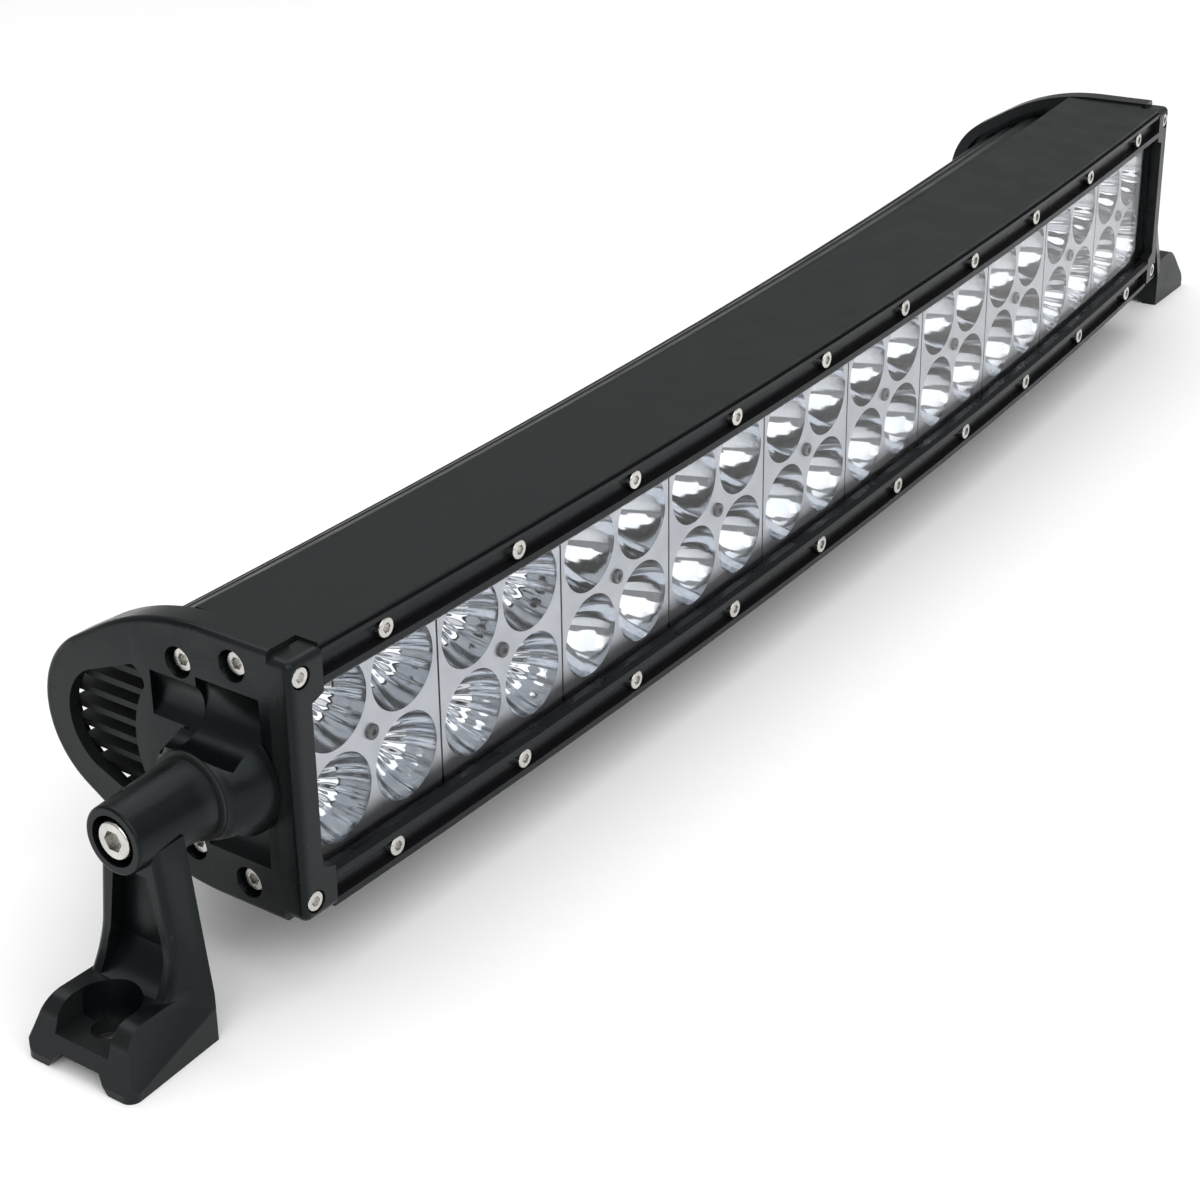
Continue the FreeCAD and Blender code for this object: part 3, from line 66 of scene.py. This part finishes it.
# Flutes in the lamp cups: how many there are round a cup, how many rings, and the depth in metres.
FLOOD_FLUTES = (14, 2.5, 0.00022)
SPOT_FLUTES = (22, 0, 0.000012)
# A module's front faces -Y, so its flat part has a normal below this, and its cups do not.
FLAT_NORMAL = -0.985

# The view: angles in degrees, the place in mm from the front of the bar and the middle of the lens.
AZIMUTH = -57.357
ELEVATION = 26.062
ROLL = -0.683
CAMERA_PLACE = (-676.5, -335.5, 311.3)
CAMERA_LENS = 77.63
CAMERA_SHIFT = (-0.0041, -0.0095)

# The studio: each soft light's name, place, size and watts. All of them point at the bar's middle.
WORLD_STRENGTH = 0.36
FLOOR_HALF = 6.0
LIGHTS = (
    ("key", (-0.9, -1.5, 1.6), (3.2, 2.2), 40.0),
    ("top", (0.3, 0.4, 1.9), (2.6, 2.0), 27.0),
    ("end", (-1.7, -0.3, 1.4), (0.9, 1.2), 7.0),
)

# --- places worked out from the frame -------------------------------------------------------------

FRONT_Y = CAD_LOW.y
FLOOR_Z = CAD_LOW.z
LENS_LOW, LENS_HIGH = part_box("lens")
MIDDLE_Z = (LENS_LOW.z + LENS_HIGH.z) / 2
MODULE_LOW, MODULE_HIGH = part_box("reflector_05")
MODULE_HEIGHT = MODULE_HIGH.z - MODULE_LOW.z
CUP_OFFSET = MODULE_HEIGHT * 0.234
CUP_RADIUS = MODULE_HEIGHT * 0.217


# --- small helpers for node materials -------------------------------------------------------------

def new_material(name):
    """A material with only its shader and output: returns the material, its node tree and its shader."""
    material = bpy.data.materials.new(name)
    material.use_nodes = True
    tree = material.node_tree
    shader = next(node for node in tree.nodes if node.type == "BSDF_PRINCIPLED")
    return material, tree, shader


def add_node(tree, kind, **inputs):
    """A node with some of its sockets set, with _ in the names for spaces."""
    node = tree.nodes.new(kind)
    for name, value in inputs.items():
        node.inputs[name.replace("_", " ")].default_value = value
    return node


def place_source(tree):
    """Where a point is on the object, in metres."""
    return tree.nodes.new("ShaderNodeTexCoord").outputs["Object"]


def noise(tree, scale, detail=3.0, roughness=0.5):
    """Cloudy noise with this many waves a metre."""
    node = add_node(tree, "ShaderNodeTexNoise", Scale=scale, Detail=detail, Roughness=roughness)
    tree.links.new(place_source(tree), node.inputs["Vector"])
    return node.outputs["Fac"]


def spread(tree, source, low, high, from_low=0.3, from_high=0.7):
    """Map a texture's middle range onto low..high."""
    node = tree.nodes.new("ShaderNodeMapRange")
    node.inputs["From Min"].default_value = from_low
    node.inputs["From Max"].default_value = from_high
    node.inputs["To Min"].default_value = low
    node.inputs["To Max"].default_value = high
    tree.links.new(source, node.inputs["Value"])
    return node.outputs["Result"]


def blend_colours(tree, factor, first, second):
    """The first colour where the factor is 0 and the second where it is 1."""
    node = tree.nodes.new("ShaderNodeMix")
    node.data_type = "RGBA"
    tree.links.new(factor, node.inputs["Factor"])
    for socket, value in (("A", first), ("B", second)):
        target = next(item for item in node.inputs if item.name == socket and item.type == "RGBA")
        if isinstance(value, tuple):
            target.default_value = (*value, 1.0)
        else:
            tree.links.new(value, target)
    return next(item for item in node.outputs if item.type == "RGBA")


def bump(tree, source, strength, distance):
    """A normal that shows the source as height, up to this distance in metres."""
    node = add_node(tree, "ShaderNodeBump", Strength=strength, Distance=distance)
    tree.links.new(source, node.inputs["Height"])
    return node.outputs["Normal"]


def math_node(tree, operation, first, second=None):
    node = tree.nodes.new("ShaderNodeMath")
    node.operation = operation
    for socket, value in zip(node.inputs, (first, second)):
        if isinstance(value, (int, float)):
            socket.default_value = value
        elif value is not None:
            tree.links.new(value, socket)
    return node.outputs["Value"]


def edge_wear(tree, low=0.515, high=0.56):
    """How far a point is on an outer edge, from 0 to 1."""
    geometry = tree.nodes.new("ShaderNodeNewGeometry")
    return spread(tree, geometry.outputs["Pointiness"], 0.0, 1.0, low, high)


# --- materials ------------------------------------------------------------------------------------

def coated(name, colour, worn, roughness, grain_scale, grain_depth, shine=0.2):
    """Painted or moulded black: a fine grain, patches of duller sheen, and paler edges."""
    material, tree, shader = new_material(name)
    patches = noise(tree, PATCH_SCALE, 4.0)
    tint = tuple(channel * PATCH_LIFT for channel in colour)
    base = blend_colours(tree, spread(tree, patches, 0.0, 1.0), colour, tint)
    tinted = blend_colours(tree, edge_wear(tree), base, worn)
    tree.links.new(tinted, shader.inputs["Base Color"])
    rough = spread(tree, noise(tree, SHEEN_SCALE, 5.0), roughness - 0.05, roughness + 0.06)
    tree.links.new(rough, shader.inputs["Roughness"])
    grain = noise(tree, grain_scale, 2.0)
    tree.links.new(bump(tree, grain, GRAIN_STRENGTH, grain_depth), shader.inputs["Normal"])
    shader.inputs["Specular IOR Level"].default_value = shine
    shader.inputs["Specular Tint"].default_value = (*COOL_GLOSS, 1.0)
    return material


def metal(name, colour, roughness, grain_scale, dent):
    """Bare metal with darker stains, uneven gloss and small dents."""
    material, tree, shader = new_material(name)
    stain = noise(tree, STAIN_SCALE, 4.0)
    darker = tuple(channel * STAIN_SHADE for channel in colour)
    base = blend_colours(tree, spread(tree, stain, 0.0, 1.0), darker, colour)
    tree.links.new(base, shader.inputs["Base Color"])
    rough = spread(tree, noise(tree, grain_scale, 3.0), roughness - 0.06, roughness + 0.08)
    tree.links.new(rough, shader.inputs["Roughness"])
    fine = noise(tree, grain_scale, 2.0)
    tree.links.new(bump(tree, fine, DENT_STRENGTH, dent), shader.inputs["Normal"])
    shader.inputs["Metallic"].default_value = 1.0
    return material


def module_node(number):
    return "reflector_" + str(number).zfill(2)


def module_middle(number):
    low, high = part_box(module_node(number))
    return (low + high) / 2


def module_turn(number):
    """How far a module is turned about the upright, from the row's even bend."""
    first = module_middle(2) - module_middle(1)
    last = module_middle(MODULES) - module_middle(MODULES - 1)
    whole = math.atan2(last.y, last.x) - math.atan2(first.y, first.x)
    return whole / (MODULES - 2) * (number - (MODULES + 1) / 2)


def cup_place(tree, number):
    """Angle and distance from the middle of the nearest of a module's four cups."""
    middle = module_middle(number)
    mapping = tree.nodes.new("ShaderNodeMapping")
    mapping.vector_type = "TEXTURE"
    mapping.inputs["Location"].default_value = middle
    mapping.inputs["Rotation"].default_value = (0.0, 0.0, module_turn(number))
    tree.links.new(place_source(tree), mapping.inputs["Vector"])
    split = tree.nodes.new("ShaderNodeSeparateXYZ")
    tree.links.new(mapping.outputs["Vector"], split.inputs["Vector"])
    across = math_node(tree, "SUBTRACT", math_node(tree, "ABSOLUTE", split.outputs["X"]), CUP_OFFSET)
    up = math_node(tree, "SUBTRACT", math_node(tree, "ABSOLUTE", split.outputs["Z"]), CUP_OFFSET)
    angle = math_node(tree, "ARCTAN2", up, across)
    square = math_node(tree, "ADD", math_node(tree, "MULTIPLY", across, across),
                       math_node(tree, "MULTIPLY", up, up))
    return angle, math_node(tree, "SQRT", square)


def cup_flutes(tree, number, count, rings):
    """A height that waves round each cup, and also outwards where rings isn't 0."""
    angle, distance = cup_place(tree, number)
    wave = math_node(tree, "SINE", math_node(tree, "MULTIPLY", angle, float(count)))
    if rings:
        phase = math_node(tree, "MULTIPLY", distance, rings * math.tau / CUP_RADIUS)
        outward = math_node(tree, "SINE", phase)
        wave = math_node(tree, "ADD", wave, outward)
    return wave


def flat_face(tree):
    """1 on the module's flat front, 0 in its cups."""
    geometry = tree.nodes.new("ShaderNodeNewGeometry")
    split = tree.nodes.new("ShaderNodeSeparateXYZ")
    tree.links.new(geometry.outputs["True Normal"], split.inputs["Vector"])
    return math_node(tree, "LESS_THAN", split.outputs["Y"], FLAT_NORMAL)


def reflector_material(number, flood):
    """Metallised plastic: a satin flat face and mirror cups, with deeper flutes and rings for flood."""
    material, tree, shader = new_material(("flood_" if flood else "spot_") + str(number))
    shader.inputs["Metallic"].default_value = 1.0
    face = flat_face(tree)
    haze = spread(tree, noise(tree, HAZE_SCALE, 3.0), 0.0, 1.0)
    satin = blend_colours(tree, haze, *SATIN)
    mirror = blend_colours(tree, haze, *MIRROR)
    tree.links.new(blend_colours(tree, face, mirror, satin), shader.inputs["Base Color"])
    patchy = spread(tree, noise(tree, SMEAR_SCALE, 2.0), 0.0, 0.05)
    rough = math_node(tree, "ADD", math_node(tree, "MULTIPLY", face, SATIN_ROUGHNESS), patchy)
    tree.links.new(math_node(tree, "ADD", rough, MIRROR_ROUGHNESS), shader.inputs["Roughness"])
    count, rings, depth = FLOOD_FLUTES if flood else SPOT_FLUTES
    flutes = cup_flutes(tree, number, count, rings)
    in_cup = math_node(tree, "MULTIPLY", flutes, math_node(tree, "SUBTRACT", 1.0, face))
    tree.links.new(bump(tree, in_cup, 1.0, depth), shader.inputs["Normal"])
    return material


def lens_material():
    """Clear polycarbonate with a faint haze."""
    material, tree, shader = new_material("clear_lens")
    shader.inputs["Base Color"].default_value = (1.0, 1.0, 1.0, 1.0)
    shader.inputs["Transmission Weight"].default_value = 1.0
    shader.inputs["IOR"].default_value = LENS_INDEX
    rough = spread(tree, noise(tree, LENS_HAZE_SCALE, 3.0), 0.0, 0.02)
    tree.links.new(rough, shader.inputs["Roughness"])
    return material


def emitter_material():
    """Phosphor under a clear dome."""
    material, tree, shader = new_material("emitter")
    speck = noise(tree, SPECK_SCALE, 3.0)
    colour = blend_colours(tree, spread(tree, speck, 0.0, 1.0), *PHOSPHOR)
    tree.links.new(colour, shader.inputs["Base Color"])
    shader.inputs["Roughness"].default_value = 0.15
    shader.inputs["Coat Weight"].default_value = 1.0
    shader.inputs["Coat Roughness"].default_value = 0.03
    return material


def dress(node, material):
    """Give a CAD node its material, without touching its mesh's shape."""
    if not NODES[node].material_slots:
        NODES[node].data.materials.append(material)
    for slot in NODES[node].material_slots:
        slot.material = material


def dress_all():
    """A material for every CAD node. Coats: colour, worn colour, roughness, grain scale and depth."""
    housing = coated("housing_black", (0.0045, 0.0052, 0.0056), (0.009, 0.0096, 0.01), 0.42, 2600.0, 0.00005)
    strip = coated("strip_black", (0.003, 0.0032, 0.0036), (0.008, 0.008, 0.009), 0.28, 3000.0, 0.000006,
                   shine=0.16)
    cast = coated("cast_black", (0.0024, 0.0028, 0.0032), (0.01, 0.0106, 0.011), 0.29, 1900.0, 0.00008)
    rubber = coated("black_rubber", (0.006, 0.006, 0.006), (0.012, 0.012, 0.012), 0.7, 1400.0, 0.00008)
    nylon = coated("black_nylon", (0.006, 0.006, 0.0065), (0.02, 0.02, 0.021), 0.45, 1700.0, 0.00006)
    steel = metal("stainless", (0.66, 0.65, 0.62), 0.25, 900.0, 0.00003)
    dark_steel = metal("dark_steel", (0.12, 0.12, 0.13), 0.35, 900.0, 0.00003)
    board = coated("board_white", (0.7, 0.71, 0.69), (0.8, 0.8, 0.79), 0.45, 1500.0, 0.00002, shine=0.5)
    green = coated("board_green", (0.02, 0.13, 0.05), (0.05, 0.2, 0.09), 0.35, 1500.0, 0.00002, shine=0.5)
    red = coated("wire_red", (0.4, 0.02, 0.02), (0.5, 0.05, 0.05), 0.45, 1500.0, 0.00002, shine=0.5)
    by_node = {
        "housing": housing, "top_bezel_strip": strip, "bottom_bezel_strip": strip,
        "lens": lens_material(), "lens_gasket": rubber, "led_boards": board,
        "led_chips": emitter_material(), "driver_board": green, "driver_components": nylon,
        "driver_spacers": nylon, "driver_leads": red, "top_bezel_screws": steel,
        "bottom_bezel_screws": steel, "reflector_screws": dark_steel, "pillar_screws": steel,
        "left_cap_screws": steel, "right_cap_screws": steel, "pivot_bolts": steel,
        "head_washers": rubber, "friction_washers": nylon, "gland_body": nylon, "gland_nut": nylon,
        "gland_seal": rubber, "breather_vent": nylon,
    }
    for side in ("left", "right"):
        by_node[side + "_end_cap"] = cast
        by_node[side + "_bracket"] = cast
        by_node[side + "_front_pillar"] = cast
        by_node[side + "_cap_gasket"] = rubber
    for number in range(1, MODULES + 1):
        by_node[module_node(number)] = reflector_material(number, number in FLOOD_MODULES)
    for node, material in by_node.items():
        dress(node, material)


# --- the studio -----------------------------------------------------------------------------------

def make_floor():
    """A flat, pale floor that the feet stand on."""
    material, tree, shader = new_material("studio_floor")
    mottle = noise(tree, FLOOR_MOTTLE_SCALE, 2.0)
    pale = blend_colours(tree, spread(tree, mottle, 0.0, 1.0), *FLOOR_PALE)
    tree.links.new(pale, shader.inputs["Base Color"])
    shader.inputs["Roughness"].default_value = 0.8
    mesh = bpy.data.meshes.new("floor")
    corners = [(x * FLOOR_HALF, y * FLOOR_HALF, FLOOR_Z) for x, y in ((-1, -1), (1, -1), (1, 1), (-1, 1))]
    mesh.from_pydata(corners, [], [(0, 1, 2, 3)])
    floor = bpy.data.objects.new("floor", mesh)
    floor.data.materials.append(material)
    bpy.context.scene.collection.objects.link(floor)


def add_area_light(name, place, size, power):
    """A soft rectangular panel that points at the middle of the bar."""
    data = bpy.data.lights.new(name, "AREA")
    data.shape = "RECTANGLE"
    data.size, data.size_y = size
    data.energy = power
    light = bpy.data.objects.new(name, data)
    light.location = place
    light.rotation_mode = "QUATERNION"
    middle = Vector((0.0, 0.0, MIDDLE_Z))
    light.rotation_quaternion = (middle - Vector(place)).to_track_quat("-Z", "Y")
    bpy.context.scene.collection.objects.link(light)


def make_lights():
    """A white world and three soft panels, shown with plain Standard colours."""
    world = bpy.data.worlds.new("studio")
    world.use_nodes = True
    background = next(node for node in world.node_tree.nodes if node.type == "BACKGROUND")
    background.inputs["Color"].default_value = (1.0, 1.0, 1.0, 1.0)
    background.inputs["Strength"].default_value = WORLD_STRENGTH
    bpy.context.scene.world = world
    bpy.context.scene.view_settings.view_transform = "Standard"
    for name, place, size, power in LIGHTS:
        add_area_light(name, place, size, power)


def make_camera():
    """The camera stands off the bar's left front and looks down along it."""
    azimuth, elevation, roll = (math.radians(angle) for angle in (AZIMUTH, ELEVATION, ROLL))
    level = Vector((math.sin(azimuth), -math.cos(azimuth), 0.0))
    back = level * math.cos(elevation) + Vector((0.0, 0.0, math.sin(elevation)))
    right = Vector((math.cos(azimuth), math.sin(azimuth), 0.0))
    up = back.cross(right)
    rolled_right = right * math.cos(roll) + up * math.sin(roll)
    rolled_up = up * math.cos(roll) - right * math.sin(roll)
    turn = Matrix((rolled_right, rolled_up, back)).transposed()
    data = bpy.data.cameras.new("camera")
    data.sensor_width = 36.0
    data.lens = CAMERA_LENS
    data.shift_x, data.shift_y = CAMERA_SHIFT
    camera = bpy.data.objects.new("camera", data)
    spot = Vector(CAMERA_PLACE) * MM + Vector((0.0, FRONT_Y, MIDDLE_Z))
    camera.matrix_world = Matrix.Translation(spot) @ turn.to_4x4()
    bpy.context.scene.collection.objects.link(camera)
    bpy.context.scene.camera = camera


make_camera()
dress_all()
make_floor()
make_lights()
